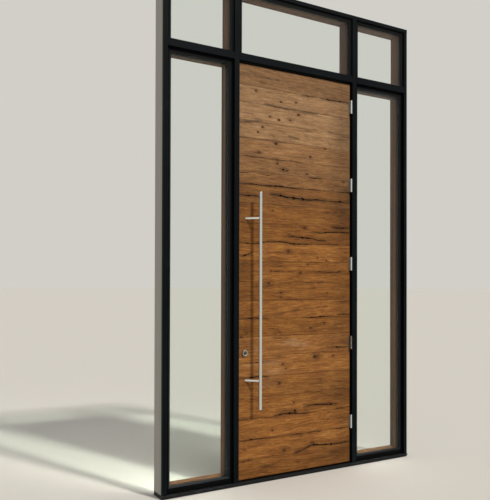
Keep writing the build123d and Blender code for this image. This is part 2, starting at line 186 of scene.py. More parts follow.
def primed_where_hidden(tree, place, colour):
    """The frame's outer sides, behind its front cladding, go against a wall and are only primed."""
    at = add_node(tree, "ShaderNodeSeparateXYZ", links={0: place})
    width = add_node(tree, "ShaderNodeMath", links={0: at.outputs["X"]}, operation="ABSOLUTE")
    side = add_node(tree, "ShaderNodeMath", {1: HALF_WIDTH - SKIN}, {0: width.outputs[0]},
                    operation="GREATER_THAN")
    top = add_node(tree, "ShaderNodeMath", {1: UNIT_TOP - SKIN}, {0: at.outputs["Z"]},
                   operation="GREATER_THAN")
    outer = add_node(tree, "ShaderNodeMath", links={0: side.outputs[0], 1: top.outputs[0]},
                     operation="MAXIMUM")
    behind = add_node(tree, "ShaderNodeMath", {1: CLADDING_BACK}, {0: at.outputs["Y"]},
                      operation="GREATER_THAN")
    hidden = add_node(tree, "ShaderNodeMath", links={0: outer.outputs[0], 1: behind.outputs[0]},
                      operation="MULTIPLY")
    primed = add_node(tree, "ShaderNodeMix", {"B": linear(PRIMER)},
                      {"Factor": hidden.outputs[0], "A": colour}, data_type="RGBA")
    return primed.outputs["Result"]


def powder_coat(name, deep, dusty, roughness, shine):
    made, tree, shader = new_material(name, Roughness=roughness, Specular_IOR_Level=shine)
    place = add_node(tree, "ShaderNodeTexCoord").outputs["Object"]
    dust = add_node(tree, "ShaderNodeTexNoise", {"Scale": 3.0, "Detail": 5.0}, {"Vector": place})
    colour = add_node(tree, "ShaderNodeValToRGB", links={"Fac": dust.outputs["Fac"]},
                      stops=[(0.35, deep), (0.75, dusty)])
    peel = add_node(tree, "ShaderNodeTexNoise", {"Scale": 900.0}, {"Vector": place})
    bump = add_node(tree, "ShaderNodeBump", {"Strength": 0.15, "Distance": 0.0003},
                    {"Height": peel.outputs["Fac"]})
    feed(tree, shader, {"Base Color": primed_where_hidden(tree, place, colour.outputs["Color"]),
                        "Normal": bump.outputs["Normal"]})
    return made


# The lips are given a deeper black: painted shade, for the shade they lie in. The beads are
# smoother, and are given a lighter black: painted sheen, for the dull gleam they catch.
LIGHTS = ["left_sidelight", "right_sidelight", "left_transom", "centre_transom", "right_transom"]
cladding = powder_coat("black_powder_coated_aluminium", "#04090C", "#0A1014", 0.42, 0.07)
lip_coat_painted_shade = powder_coat("black_frame_lip_painted_shade", "#030405", "#060808", 0.5, 0.05)
bead_coat_painted_sheen = powder_coat("satin_black_glazing_bead_painted_sheen", "#0D1113", "#171B1E", 0.28, 0.16)
for cover in ["left_jamb_cover", "right_jamb_cover", "left_mullion_cover", "right_mullion_cover",
              "head_cover", "transom_bar_covers"]:
    finish(cover, cladding)
for light in LIGHTS:
    finish(light + "_frame", lip_coat_painted_shade)
    finish(light + "_bead", bead_coat_painted_sheen)

# Glass: sealed units of two clear float panes, faintly green at the edge, held between the
# frame's lip and the bead. A shadow ray passes straight through, as daylight does.
GLASS_CLEAR = linear("#FAFDFB")
glass, tree, shader = new_material("clear_float_glass", Base_Color=GLASS_CLEAR, Roughness=0.0, IOR=1.5,
                                   Specular_Tint=linear("#6A6A6A"), Transmission_Weight=1.0)
through = add_node(tree, "ShaderNodeBsdfTransparent", {"Color": GLASS_CLEAR})
lamp_ray = add_node(tree, "ShaderNodeLightPath").outputs["Is Shadow Ray"]
pane = add_node(tree, "ShaderNodeMixShader",
                links={0: lamp_ray, 1: shader.outputs[0], 2: through.outputs[0]})
tree.links.new(pane.outputs[0], tree.nodes["Material Output"].inputs["Surface"])
for light in LIGHTS:
    finish(light + "_glass", glass)

# Glass spacers: the strip of foamed plastic round each unit that holds its two panes apart
# and seals the space between them. It is matt and nearly black.
spacer_strip = new_material("dark_warm_edge_spacer", Base_Color=linear("#1C1E1F"), Roughness=0.6)[0]
finish("glass_spacers", spacer_strip)

# Lining: the wooden inside of the frame, stained brown, screwed behind the cladding. Its grain,
# streaks 7 mm apart and a third of a metre long, runs along each member, and its outer sides,
# which go against a wall, are only primed.
NEAR_DOOR = 0.65
STOP_WIDTH = 0.045
FRONT_BAND = 0.012
TOP_BAND = 0.03


def stained_wood(name, level_below, level_above, dark_inside, dark_above):
    """Grain runs level below and above these heights, and upright between them. Nearer the door
    than dark_inside, and above dark_above, the front of the wood is black like the frame."""
    made, tree, shader = new_material(name, Roughness=0.55, Specular_IOR_Level=0.2)
    place = add_node(tree, "ShaderNodeTexCoord").outputs["Object"]
    at = add_node(tree, "ShaderNodeSeparateXYZ", links={0: place})
    below = add_node(tree, "ShaderNodeMath", {1: level_below}, {0: at.outputs["Z"]}, operation="LESS_THAN")
    above = add_node(tree, "ShaderNodeMath", {1: level_above}, {0: at.outputs["Z"]},
                     operation="GREATER_THAN")
    level = add_node(tree, "ShaderNodeMath", links={0: below.outputs[0], 1: above.outputs[0]},
                     operation="MAXIMUM")
    standing = add_node(tree, "ShaderNodeMapping", {"Scale": (140.0, 140.0, 3.0)}, {"Vector": place})
    lying = add_node(tree, "ShaderNodeMapping", {"Scale": (3.0, 140.0, 140.0)}, {"Vector": place})
    along = add_node(tree, "ShaderNodeMix", data_type="VECTOR", links={
        "Factor": level.outputs[0], 4: standing.outputs[0], 5: lying.outputs[0]}).outputs[1]
    grain = add_node(tree, "ShaderNodeTexNoise", {"Scale": 1.0, "Detail": 4.0, "Roughness": 0.65,
                     "Distortion": 0.4}, {"Vector": along}).outputs["Fac"]
    broad = add_node(tree, "ShaderNodeTexNoise", {"Scale": 0.22}, {"Vector": along})
    both = add_node(tree, "ShaderNodeMath", {1: 0.6}, {0: broad.outputs["Fac"]}, operation="MULTIPLY")
    summed = add_node(tree, "ShaderNodeMath", {1: 0.4}, {0: grain, 2: both.outputs[0]},
                      operation="MULTIPLY_ADD")
    stain = add_node(tree, "ShaderNodeValToRGB", links={"Fac": summed.outputs[0]},
                     stops=[(0.36, "#402711"), (0.64, "#764A24")])
    width = add_node(tree, "ShaderNodeMath", links={0: at.outputs["X"]}, operation="ABSOLUTE")
    by_mullion = add_node(tree, "ShaderNodeMath", {1: dark_inside}, {0: width.outputs[0]},
                          operation="LESS_THAN")
    at_top = add_node(tree, "ShaderNodeMath", {1: dark_above}, {0: at.outputs["Z"]},
                      operation="GREATER_THAN")
    either = add_node(tree, "ShaderNodeMath", links={0: by_mullion.outputs[0], 1: at_top.outputs[0]},
                      operation="MAXIMUM")
    in_front = add_node(tree, "ShaderNodeMath", {1: FRONT_BAND}, {0: at.outputs["Y"]}, operation="LESS_THAN")
    black = add_node(tree, "ShaderNodeMath", links={0: either.outputs[0], 1: in_front.outputs[0]},
                     operation="MULTIPLY")
    edged = add_node(tree, "ShaderNodeMix", {"B": linear("#0E0F10")},
                     {"Factor": black.outputs[0], "A": stain.outputs[0]}, data_type="RGBA")
    bump = add_node(tree, "ShaderNodeBump", {"Strength": 0.25, "Distance": 0.0004}, {"Height": grain})
    feed(tree, shader, {"Base Color": primed_where_hidden(tree, place, edged.outputs["Result"]),
                        "Normal": bump.outputs["Normal"]})
    return made


for light in LIGHTS:
    pane_low, pane_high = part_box(light + "_glass")
    bead = 0.009 if "transom" in light else 0.012
    tall = "sidelight" in light
    wood = stained_wood("stained_wood_" + light, pane_low[2] + bead, pane_high[2] - bead,
                        NEAR_DOOR if tall else 0.0, pane_high[2] - TOP_BAND if tall else UNIT_TOP)
    finish(light + "_lining", wood)
head_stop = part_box("door_stop")[1].z - STOP_WIDTH
door_wood = stained_wood("stained_wood_door_frame", 0.0, head_stop, NEAR_DOOR, UNIT_TOP)
finish("door_frame", door_wood)
finish("door_stop", door_wood)

# Transom sills: at the foot of each transom light the lip and the bead stand only a little
# above the bar's cover, so the glass comes down almost to it. The solids have them as tall as
# the other lips, so each piece of a transom light is shown by a copy with its foot lowered.
COVER_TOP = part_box("transom_bar_covers")[1].z
LIP_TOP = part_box("centre_transom_bead")[0].z
BEAD_HEIGHT = 0.0115
LOW_LIP = 0.0025
LOW_BEAD = 0.0075


def lowered(height):
    if COVER_TOP < height <= LIP_TOP:
        return COVER_TOP + (height - COVER_TOP) * LOW_LIP / (LIP_TOP - COVER_TOP)
    if LIP_TOP < height <= LIP_TOP + BEAD_HEIGHT:
        return COVER_TOP + LOW_LIP + (height - LIP_TOP) * LOW_BEAD / BEAD_HEIGHT
    return height


def with_low_foot(node_name):
    bm = bmesh.new()
    bm.from_mesh(nodes[node_name].data)
    bmesh.ops.remove_doubles(bm, verts=bm.verts, dist=1e-6)
    for vert in bm.verts:
        vert.co.z = lowered(vert.co.z)
    piece = piece_from(bm, node_name + "_low_foot", nodes[node_name].data.materials[0])
    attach(piece, "frame")
    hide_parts(node_name)


for light in LIGHTS:
    if "transom" in light:
        for part, slot_name in (("frame", "frame_black"), ("bead", "bead_black"), ("glass", "glass"),
                                ("lining", "lining_wood")):
            with_low_foot(f"{light}_{part}")
with_low_foot("glass_spacers")

# Sill and threshold: aluminium extrusions screwed to the frame's foot. Scuffs along them, 3 mm
# wide, and dust have left the sill a dull dark grey. The threshold inside is anodised bronze.
def worn_aluminium(name, dull, bright, roughness):
    made, tree, shader = new_material(name, Metallic=0.8)
    place = add_node(tree, "ShaderNodeTexCoord").outputs["Object"]
    drawn = add_node(tree, "ShaderNodeMapping", {"Scale": (2.0, 90.0, 90.0)}, {"Vector": place})
    scuffs = add_node(tree, "ShaderNodeTexNoise", {"Scale": 4.0, "Detail": 6.0, "Roughness": 0.7},
                      {"Vector": drawn.outputs[0]}).outputs["Fac"]
    colour = add_node(tree, "ShaderNodeValToRGB", links={"Fac": scuffs}, stops=[(0.35, dull), (0.7, bright)])
    rough = add_node(tree, "ShaderNodeMapRange", {"To Min": roughness + 0.15, "To Max": roughness - 0.1},
                     {"Value": scuffs})
    feed(tree, shader, {"Base Color": colour.outputs["Color"], "Roughness": rough.outputs[0]})
    return made


finish("sill", worn_aluminium("scuffed_sill_aluminium", "#17191B", "#2C2F31", 0.45))
finish("inner_threshold", worn_aluminium("bronze_anodised_threshold", "#3A342C", "#514A40", 0.45))

# Seals: a tube of black rubber pressed into the stop, which the slab closes on, and a sweep
# of the same rubber in a groove under the slab. It is matt, with no more than a dull sheen.
rubber = new_material("black_sealing_rubber", Base_Color=linear("#141414"), Roughness=0.75)[0]
finish("door_seal", rubber)
finish("bottom_sweep", rubber)

# Door core: engineered timber between the two layers of boards, edged in the same stained
# oak as they are, with upright grain 6 mm apart. It shows only when the door stands open.
core, tree, shader = new_material("core_edge_timber", Roughness=0.6)
place = add_node(tree, "ShaderNodeTexCoord").outputs["Object"]
plies = add_node(tree, "ShaderNodeMapping", {"Scale": (160.0, 160.0, 4.0)}, {"Vector": place})
edge_grain = add_node(tree, "ShaderNodeTexNoise", {"Scale": 1.0, "Detail": 4.0},
                      {"Vector": plies.outputs[0]})
edge_colour = add_node(tree, "ShaderNodeValToRGB", links={"Fac": edge_grain.outputs["Fac"]},
                       stops=[(0.0, "#4A2F1A"), (1.0, "#8A5C34")])
feed(tree, shader, {"Base Color": edge_colour.outputs["Color"]})
finish("door_core", core)


# Barn boards on the outside of the door: old oak boards, sawn level and rubbed with oil.
# Each is its own piece 14 mm thick, with worn edges, drying cracks and knots cut into it,
# glued tight to the core, so most joints show only where an edge has worn away.
MM = 0.001
DOOR_FACE = -0.048
BOARD_DEPTH = 0.014
INSIDE_FACE = 0.009
INSIDE_DEPTH = 0.010
SIDES = {"outside": (DOOR_FACE, 1, BOARD_DEPTH), "inside": (INSIDE_FACE, -1, INSIDE_DEPTH)}
face_low, face_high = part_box("outside_boards")
SLAB_LEFT, SLAB_RIGHT = face_low[0], face_high[0]

# Each row: low edge, shade, paleness, slope of the grain, and how much darker the wood is at the
# left end and, as painted shade, at the right end by the hinges. The paler boards are at the top.
BOARDS = [
    (37, 0.80, 0.00, 0.03, 0.00, 0.20), (172, 0.98, 0.03, 0.02, 0.00, 0.15),
    (315, 1.05, 0.03, -0.02, 0.02, 0.15), (471, 0.97, 0.03, 0.03, 0.00, 0.28),
    (625, 0.97, 0.05, 0.05, 0.10, 0.22), (778, 1.07, 0.08, 0.00, 0.00, 0.08),
    (930, 1.05, 0.12, -0.03, 0.20, 0.24), (1075, 0.93, 0.00, 0.02, 0.12, 0.20),
    (1208, 1.02, 0.03, -0.10, 0.12, 0.20), (1345, 0.88, 0.00, 0.00, 0.15, 0.18),
    (1482, 0.96, 0.00, 0.00, 0.30, 0.12), (1637, 1.09, 0.03, 0.01, 0.15, 0.22),
    (1780, 0.86, 0.00, -0.03, 0.12, 0.30), (1920, 0.85, 0.03, 0.00, 0.12, 0.38),
    (2065, 0.80, 0.15, 0.02, 0.12, 0.36), (2204, 0.83, 0.38, 0.00, 0.00, 0.26),
    (2300, 0.89, 0.50, -0.02, 0.06, 0.22), (2408, 0.97, 0.55, 0.00, 0.08, 0.34),
    (2545, 1.07, 0.85, 0.00, 0.10, 0.30), (2675, 1.10, 0.92, 0.02, 0.00, 0.36),
    (2808, 1.01, 0.88, -0.02, 0.00, 0.16), (2934, 0.80, 0.65, 0.04, 0.00, 0.10),
]
BOARD_TOP = 3087

# Cracks: the points they run through across the door and up it, and their width at the widest
CRACKS = [
    ([(43, 2935), (110, 2933), (165, 2936)], 4),
    ([(230, 2934), (330, 2932), (430, 2936), (516, 2934)], 5),
    ([(-290, 2815), (-180, 2806), (-70, 2803)], 2),
    ([(-470, 2663), (-400, 2672)], 2),
    ([(-506, 2412), (-330, 2410), (-230, 2404), (-60, 2408), (25, 2404)], 2.5),
    ([(-516, 2285), (-440, 2286)], 4),
    ([(-360, 2290), (-270, 2282), (-230, 2287)], 3),
    ([(116, 2300), (160, 2296), (200, 2302), (230, 2298)], 6),
    ([(-518, 2205), (-420, 2207), (-300, 2203), (-170, 2208), (-20, 2203), (60, 2206)], 6),
    ([(90, 2204), (160, 2207), (220, 2205)], 4),
    ([(400, 2207), (450, 2205), (516, 2208)], 5),
    ([(-518, 2124), (-460, 2118), (-400, 2124), (-350, 2119)], 6),
    ([(-240, 2144), (-150, 2138), (-90, 2128), (10, 2126), (110, 2122), (190, 2130), (260, 2126)], 9),
    ([(260, 2128), (340, 2124), (420, 2129), (518, 2122)], 5),
    ([(345, 1919), (430, 1915), (516, 1921)], 5),
    ([(140, 1874), (230, 1870), (320, 1880), (420, 1884), (516, 1883)], 6),
    ([(-78, 1834), (40, 1827), (140, 1822), (200, 1812), (268, 1810)], 7),
    ([(-518, 1770), (-400, 1768), (-330, 1772)], 5),
    ([(-330, 1774), (-250, 1790), (-150, 1789), (-40, 1775), (80, 1776), (140, 1781)], 6),
    ([(290, 1781), (350, 1779), (400, 1783)], 4),
    ([(-500, 1668), (-450, 1684), (-415, 1696)], 6),
    ([(-220, 1638), (0, 1640), (200, 1636), (516, 1640)], 2),
    ([(-260, 1560), (-150, 1564), (-40, 1558)], 2.5),
    ([(180, 1566), (330, 1560), (480, 1566)], 3),
    ([(-400, 1450), (-330, 1446), (-250, 1452)], 3),
    ([(-100, 1348), (60, 1351), (240, 1345)], 2.5),
    ([(60, 1207), (150, 1209), (260, 1212), (330, 1208)], 4),
    ([(390, 1222), (450, 1226), (516, 1224)], 4),
    ([(-518, 1212), (-400, 1216), (-280, 1206)], 2.5),
    ([(-213, 1062), (-130, 1056), (-50, 1060)], 2.5),
    ([(290, 970), (380, 966), (470, 962), (516, 968)], 5),
    ([(-516, 890), (-400, 884), (-240, 886)], 2.5),
    ([(-518, 784), (-420, 778), (-330, 782), (-262, 770)], 5),
    ([(70, 632), (170, 626), (290, 634)], 2.5),
    ([(70, 518), (160, 526), (260, 518), (385, 512)], 7),
    ([(361, 472), (420, 476), (466, 470)], 4),
    ([(-200, 476), (-120, 484), (-30, 479), (30, 470), (100, 466)], 7),
    ([(-518, 472), (-380, 476), (-230, 466)], 2.5),
    ([(200, 404), (330, 399), (516, 394)], 3),
    ([(-516, 318), (-380, 322), (-220, 315)], 4),
    ([(-60, 312), (0, 316), (60, 311)], 4),
    ([(110, 312), (170, 318), (232, 312)], 5),
    ([(330, 318), (430, 312), (516, 318)], 4),
    ([(-10, 176), (60, 190), (140, 214), (240, 205), (380, 196), (516, 199)], 8),
    ([(-516, 174), (-460, 170), (-400, 176)], 4),
]

# Grain lines: where dark wood shows at a layer's edge but isn't open. Points, half height, depth
GRAIN_LINES = [
    ([(-516, 3019), (-325, 3017), (-172, 3010)], 8, 0.38),
    ([(-298, 2815), (-181, 2806), (-24, 2804), (80, 2802), (190, 2803)], 10, 0.48),
    ([(-511, 2659), (-430, 2668), (-333, 2685)], 9, 0.48),
    ([(-500, 2540), (-390, 2541), (-270, 2545), (-120, 2543)], 8, 0.32),
    ([(-80, 2596), (-30, 2592), (12, 2588)], 8, 0.51),
    ([(-312, 1222), (-159, 1244), (-1, 1268), (152, 1279), (290, 1294)], 8, 0.42),
    ([(-500, 1222), (-400, 1214), (-312, 1222)], 8, 0.26),
    ([(-230, 2066), (-100, 2060), (60, 2063)], 8, 0.32),
    ([(-280, 1712), (-120, 1700), (60, 1705), (190, 1700)], 9, 0.22),
    ([(-516, 318), (-380, 322), (-150, 318), (60, 312)], 8, 0.26),
    ([(80, 2661), (136, 2657)], 7, 0.34), ([(64, 2632), (86, 2610)], 7, 0.34),
    ([(-262, 2589), (-222, 2586)], 7, 0.34), ([(-175, 2626), (-115, 2622)], 10, 0.22),
    ([(282, 2620), (318, 2574)], 7, 0.36), ([(58, 2742), (86, 2718)], 7, 0.30),
    ([(300, 2677), (334, 2675)], 7, 0.34), ([(-430, 2797), (-354, 2791)], 8, 0.26),
    ([(196, 1478), (251, 1492), (290, 1492)], 7, 0.40), ([(85, 1470), (150, 1466)], 7, 0.36),
    ([(-178, 1122), (-148, 1084)], 7, 0.30), ([(-205, 1216), (-148, 1214)], 9, 0.30),
]

# Scuffs: where boots and bags have rubbed the oil off. Place, half length, half height, paleness
SCUFFS = [
    (-34, 1010, 90, 24, 0.50), (-250, 875, 110, 22, 0.45), (-234, 808, 120, 20, 0.50),
    (-443, 868, 40, 12, 0.40), (-367, 983, 40, 14, 0.40), (-250, 715, 70, 16, 0.40),
    (-245, 766, 60, 12, 0.35), (-60, 1035, 60, 10, 0.45), (60, 1000, 60, 18, 0.30),
]

# Knots: place across the door and up it, half width, and kind: black-hearted, an open hole or sound
BLACK, HOLE, SOUND = 0, 1, 2
KNOTS = [
    (-378, 2904, 11, 2), (-154, 2851, 10, 0), (-14, 2866, 8, 0), (10, 2774, 15, 2), (-253, 2728, 10, 2),
    (-172, 2712, 13, 2), (-70, 2722, 10, 2), (-319, 2640, 10, 0), (-359, 2598, 7, 1), (-199, 2529, 16, 0),
    (268, 2538, 11, 2), (124, 2460, 12, 0), (-350, 2448, 10, 0), (-185, 2381, 10, 0), (-132, 2338, 9, 1),
    (-95, 2334, 9, 0), (88, 2322, 8, 0), (458, 2290, 13, 2), (-226, 2021, 9, 2), (73, 1903, 13, 0),
    (238, 1812, 7, 0), (-83, 1718, 20, 2), (195, 1675, 7, 0), (283, 1652, 8, 0), (100, 1622, 8, 0),
    (-240, 1566, 7, 0), (30, 1556, 12, 0), (410, 1566, 10, 0), (-261, 1473, 17, 2), (-150, 1402, 10, 0),
    (-150, 1368, 8, 0), (290, 1398, 8, 0), (129, 1126, 12, 0), (-500, 1080, 9, 0), (-455, 1107, 7, 0),
    (262, 1160, 9, 0), (172, 900, 20, 0), (351, 898, 8, 0), (-131, 859, 12, 2), (-103, 823, 8, 2),
    (-163, 719, 18, 2), (-19, 497, 10, 1), (-30, 562, 9, 0), (155, 232, 8, 0), (-118, 206, 20, 2),
    (10, 100, 8, 0), (-468, 252, 6, 0), (-225, 368, 7, 0),
]

# Stains: place, half length, half height, and how much darker the wood is there
STAINS = [
    (430, 2620, 90, 40, 0.25), (250, 2990, 220, 30, 0.22), (-330, 3018, 120, 12, 0.18),
    (400, 2330, 130, 40, 0.15), (-115, 2335, 60, 28, 0.25), (430, 2040, 100, 40, 0.30),
    (440, 1900, 90, 30, 0.25), (-470, 1600, 45, 60, 0.30), (-83, 1720, 60, 14, 0.28),
    (180, 1708, 140, 10, 0.18), (-120, 1610, 110, 22, 0.16), (0, 1560, 520, 10, 0.18),
    (240, 1568, 260, 9, 0.22), (-480, 1390, 90, 30, 0.20), (-430, 1260, 40, 30, 0.18),
    (60, 1130, 130, 40, 0.26), (380, 1120, 150, 40, 0.26), (-190, 1095, 40, 26, 0.22),
    (-450, 1120, 90, 40, 0.18), (450, 1010, 70, 22, 0.26), (200, 900, 60, 12, 0.25),
    (-80, 660, 130, 40, 0.20), (180, 690, 90, 40, 0.22), (380, 640, 170, 70, 0.26),
    (330, 560, 200, 40, 0.22), (-60, 500, 170, 12, 0.16), (-440, 380, 90, 26, 0.18),
    (300, 100, 220, 40, 0.26), (-275, 108, 62, 13, 0.60), (-440, 80, 110, 26, 0.18),
    (400, 130, 120, 30, 0.25), (430, 430, 90, 20, 0.15), (130, 545, 60, 10, 0.14),
    (450, 1450, 70, 40, 0.12), (460, 760, 80, 30, 0.15),
]


def barn_oak():
    """Oiled old oak: warm brown streaks with a soft gleam, fine dark pores and worm holes. The first
    UV map follows the grain, the second says how dark and how pale. Streaks are sized in mm, and
    the pores are drawn 3 mm high, which is as fine as shows."""
    made, tree, shader = new_material("oiled_reclaimed_oak", Specular_IOR_Level=0.18)
    along = add_node(tree, "ShaderNodeUVMap", uv_map="grain").outputs["UV"]
    tone = add_node(tree, "ShaderNodeSeparateXYZ",
                    links={0: add_node(tree, "ShaderNodeUVMap", uv_map="tone").outputs["UV"]})

    def streaks(length_mm, height_mm, detail, seed, distortion=0.0):
        scale = (1000 / length_mm, 1000 / height_mm, 1.0)
        stretched = add_node(tree, "ShaderNodeMapping", {
            "Scale": scale, "Location": (seed, seed * 1.7, seed)}, {"Vector": along})
        return add_node(tree, "ShaderNodeTexNoise", {"Scale": 1.0, "Detail": detail, "Roughness": 0.6,
                        "Distortion": distortion}, {"Vector": stretched.outputs[0]}).outputs["Fac"]

    bands = streaks(420, 20, 4.0, 3.1, 0.4)
    figure = streaks(80, 6, 5.0, 5.7, 0.6)
    clouds = streaks(260, 60, 3.0, 7.9)
    pores = streaks(26, 3.0, 3.0, 8.2)
    sum_0 = add_node(tree, "ShaderNodeMath", {1: 0.24}, {0: bands}, operation="MULTIPLY")
    sum_1 = add_node(tree, "ShaderNodeMath", {1: 0.24}, {0: clouds, 2: sum_0.outputs[0]},
                     operation="MULTIPLY_ADD")
    sum_2 = add_node(tree, "ShaderNodeMath", {1: 0.52}, {0: figure, 2: sum_1.outputs[0]},
                     operation="MULTIPLY_ADD")
    warm = add_node(tree, "ShaderNodeValToRGB", links={"Fac": sum_2.outputs[0]},
                    stops=[(0.36, "#512D12"), (0.45, "#7B4C20"), (0.54, "#94602A"), (0.64, "#AB783C")])
    pale = add_node(tree, "ShaderNodeValToRGB", links={"Fac": sum_2.outputs[0]},
                    stops=[(0.36, "#684F36"), (0.45, "#886848"), (0.54, "#9C7A57"), (0.64, "#B08F6B")])
    wood = add_node(tree, "ShaderNodeMix", data_type="RGBA", links={
        "Factor": tone.outputs["Y"], "A": warm.outputs["Color"], "B": pale.outputs["Color"]})
    pore_dark = add_node(tree, "ShaderNodeMapRange", {"From Min": 0.36, "From Max": 0.5, "To Min": 0.72},
                         {"Value": pores})
    spaced = add_node(tree, "ShaderNodeMapping", {"Scale": (24.0, 38.0, 1.0)}, {"Vector": along})
    worms = add_node(tree, "ShaderNodeTexVoronoi", {"Scale": 1.0}, {"Vector": spaced.outputs[0]},
                     voronoi_dimensions="2D")
    uneven = add_node(tree, "ShaderNodeMath", {1: 0.13}, operation="MULTIPLY_ADD",
                      links={0: worms.outputs["Color"], 2: worms.outputs["Distance"]})
    worm_dark = add_node(tree, "ShaderNodeMapRange", {"From Min": 0.06, "From Max": 0.1, "To Min": 0.35},
                         {"Value": uneven.outputs[0]})
    specked = add_node(tree, "ShaderNodeMath", links={0: worm_dark.outputs[0], 1: pore_dark.outputs[0]},
                       operation="MULTIPLY")
    depth = add_node(tree, "ShaderNodeMath", links={0: tone.outputs["X"], 1: specked.outputs[0]},
                     operation="MULTIPLY")
    shaded = add_node(tree, "ShaderNodeVectorMath", operation="SCALE",
                      links={0: wood.outputs["Result"], "Scale": depth.outputs[0]})
    rough = add_node(tree, "ShaderNodeMapRange", {"From Min": 0.3, "From Max": 0.7, "To Min": 0.72,
                     "To Max": 0.5}, {"Value": figure})
    relief = add_node(tree, "ShaderNodeMath", {1: 0.5}, {0: figure, 2: pores}, operation="MULTIPLY_ADD")
    bump = add_node(tree, "ShaderNodeBump", {"Strength": 0.5, "Distance": 0.0006},
                    {"Height": relief.outputs[0]})
    feed(tree, shader, {"Base Color": shaded.outputs[0], "Roughness": rough.outputs[0],
                        "Normal": bump.outputs["Normal"]})
    return made


oak = barn_oak()
# The black-brown grime that fills old cracks and open knots, made darker still as painted shade
crack_grime_and_shade = new_material("grime_and_painted_shade_in_cracks", Base_Color=linear("#1B120C"), Roughness=0.95,
                     Specular_IOR_Level=0.1)[0]
CRACK_STEP = 9


def crack_cutter(points, width, face):
    """A ragged wedge along the crack, widest at its middle, that is cut out of the boards."""
    curve = bpy.data.curves.new("crack", "CURVE")
    curve.dimensions = "3D"
    curve.bevel_depth = 1.0
    curve.bevel_resolution = 0
    curve.use_fill_caps = True
    spline = curve.splines.new("POLY")
    run = []
    for (x0, z0), (x1, z1) in zip(points, points[1:]):
        steps = max(2, round(abs(x1 - x0) / CRACK_STEP))
        for step in range(steps):
            share = step / steps
            eased = share * share * (3 - 2 * share)
            run.append((x0 + (x1 - x0) * share, z0 + (z1 - z0) * eased))
    run.append(points[-1])
    spline.points.add(len(run) - 1)
    for i, (x, z) in enumerate(run):
        along_it = i / (len(run) - 1)
        taper = math.sin(math.pi * min(max(along_it, 0.02), 0.98)) ** 0.6
        ragged = 0.6 + 2.4 * max(0.0, noise.noise(Vector((x * 0.035, z * 0.05, width))))
        jitter = 1.6 * noise.noise(Vector((x * 0.045, z, 4.0)))
        spline.points[i].co = (x * MM, 0.0, (z + jitter) * MM, 1.0)
        spline.points[i].radius = width / 1.4 * taper * ragged * MM
    shape = bpy.data.objects.new("crack", curve)
    mesh = bpy.data.meshes.new_from_object(shape)
    bpy.data.objects.remove(shape)
    bpy.data.curves.remove(curve)
    mesh.transform(Matrix.Translation((0, face, 0)) @ Matrix.Diagonal((1, 3.0, 1, 1)))
    return mesh


def set_in_face(bm, verts, x, y, z, inward):
    """Moves a round shape made level to its place, facing out of the side that it is for."""
    bmesh.ops.transform(bm, verts=verts, matrix=Matrix.Translation((x, y, z))
                        @ Matrix.Rotation(math.radians(90 * inward), 4, "X"))


KNOT_SEGMENTS = 18
HOLE_DEPTH = 16 * MM
POCKET_DEPTH = 8 * MM


def knot_cutter(x, z, radius, face, inward, hole):
    """A round pocket that the knot sits in, or an open hole where the knot fell out."""
    bm = bmesh.new()
    bmesh.ops.create_cone(bm, cap_ends=True, segments=KNOT_SEGMENTS, radius1=radius * MM,
                          radius2=radius * 0.8 * MM, depth=HOLE_DEPTH if hole else POCKET_DEPTH)
    for vert in bm.verts:
        turn = math.atan2(vert.co.y, vert.co.x)
        vert.co.x *= 1.25 + 0.22 * noise.noise(Vector((turn * 0.8, x, z)))
        vert.co.y *= 0.85 + 0.22 * noise.noise(Vector((turn * 0.8, z, x)))
    set_in_face(bm, bm.verts, x * MM, face, z * MM, inward)
    return mesh_from(bm, "knot_hole")


def nearest(x, z, points):
    """How far a place is from a line of points."""
    best = 1e9
    for (x0, z0), (x1, z1) in zip(points, points[1:]):
        long, tall = x1 - x0, z1 - z0
        share = max(0.0, min(1.0, ((x - x0) * long + (z - z0) * tall) / (long ** 2 + tall ** 2)))
        best = min(best, math.hypot(x - x0 - share * long, z - z0 - share * tall))
    return best


def cut_out(board, cutters):
    """Cuts the cracks, knot pockets and hinge seats out of one board, and leaves grime with painted shade on
    the cut.
    Cuts that touch each other are made one after another, because a cutter may not cross itself."""
    rounds = []
    for cutter in cutters:
        low = [min(v.co[axis] for v in cutter.vertices) - MM for axis in (0, 2)]
        high = [max(v.co[axis] for v in cutter.vertices) + MM for axis in (0, 2)]
        for made in rounds:
            if all(high[0] < start[0] or end[0] < low[0] or high[1] < start[1] or end[1] < low[1]
                   for _, start, end in made):
                made.append((cutter, low, high))
                break
        else:
            rounds.append([(cutter, low, high)])
    for made in rounds:
        bm = bmesh.new()
        for cutter, _, _ in made:
            bm.from_mesh(cutter)
        tool = piece_from(bm, "cutter", crack_grime_and_shade)
        cut = board.modifiers.new("cracks", "BOOLEAN")
        cut.operation = "DIFFERENCE"
        cut.solver = "EXACT"
        cut.material_mode = "TRANSFER"
        cut.object = tool
        bpy.context.view_layer.update()
        cut_board = board.evaluated_get(bpy.context.evaluated_depsgraph_get())
        finished = bpy.data.meshes.new_from_object(cut_board)
        board.modifiers.clear()
        board.data = finished
        bpy.data.objects.remove(tool)


def touches(points, low, high, reach):
    """Whether a line of points comes within this reach of the board between two heights."""
    return min(z for _, z in points) < high + reach and max(z for _, z in points) > low - reach


def reach_of(x, z, mid_x, mid_z, half_x, half_z):
    """0 in the middle of an oval mark, 1 on its outline and more outside it."""
    return ((x - mid_x) / half_x) ** 2 + ((z - mid_z) / half_z) ** 2


def add_block(bm, size, centre):
    corners = bmesh.ops.create_cube(bm, size=1.0)["verts"]
    bmesh.ops.scale(bm, vec=size, verts=corners)
    bmesh.ops.translate(bm, vec=centre, verts=corners)


def join_boards(piece, side):
    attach(piece, "door")
    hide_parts(side + "_boards")


